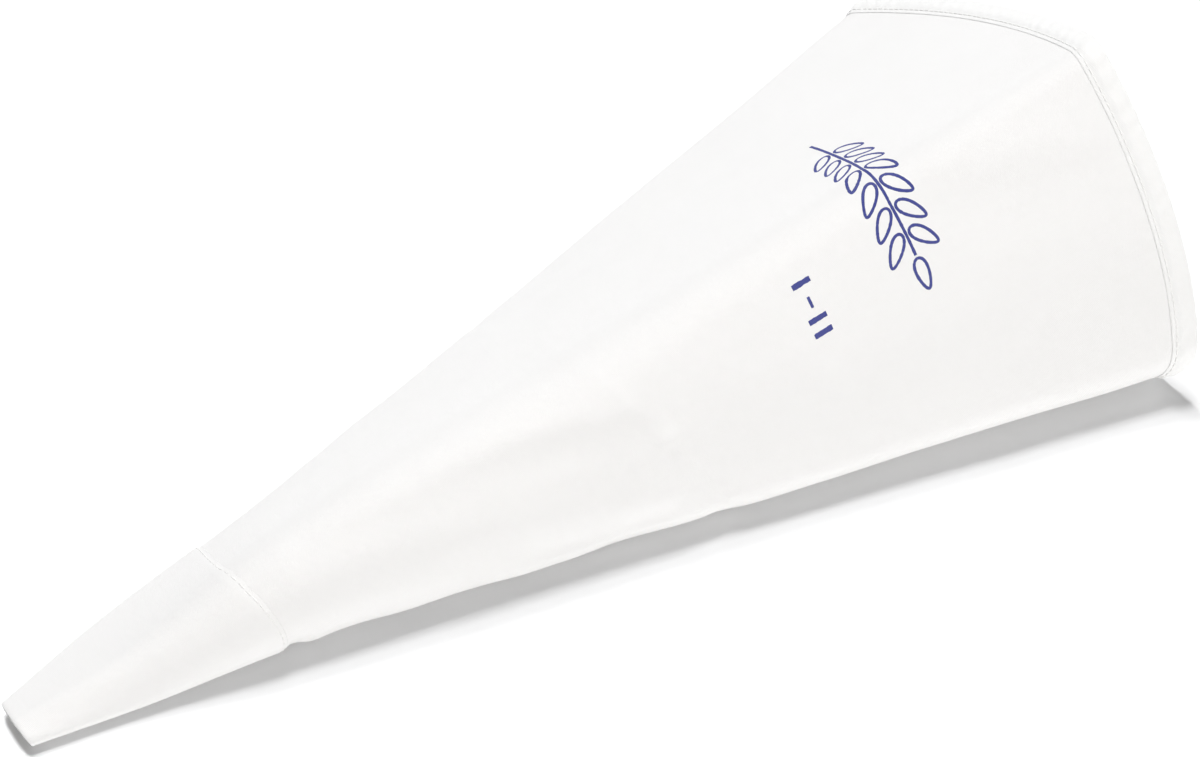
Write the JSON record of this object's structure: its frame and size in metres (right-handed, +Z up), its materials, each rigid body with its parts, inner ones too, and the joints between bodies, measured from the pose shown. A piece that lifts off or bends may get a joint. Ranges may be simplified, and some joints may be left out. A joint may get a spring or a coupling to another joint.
{
  "type": "piping bag",
  "caption": "Soft coated-cotton piping bag: an empty cone lying on one side, mouth open behind a turned hem, narrow reinforced tip for a nozzle.",
  "frame": {"origin": "centre of the bag's footprint, on the surface that it lies on", "axes": "+X from the tip to the mouth, +Y to the back edge, +Z up from the flat underside to the ridge"},
  "size_m": [0.4008, 0.1918, 0.1201],
  "materials": {
    "cotton_cloth": "matte",
    "sealing_coat": "satin",
    "sewing_thread": "matte",
    "blue_ink": "matte"
  },
  "bodies": {
    "root": {"bag_body": "cotton_cloth", "inner_coating": "sealing_coat", "mouth_hem": "cotton_cloth", "hem_stitches": "sewing_thread", "tip_sleeve": "cotton_cloth", "sleeve_stitches": "sewing_thread", "seam_allowance": "cotton_cloth", "seam_stitches": "sewing_thread", "printed_emblem": "blue_ink", "printed_size_bars": "blue_ink"}
  },
  "joints": []
}
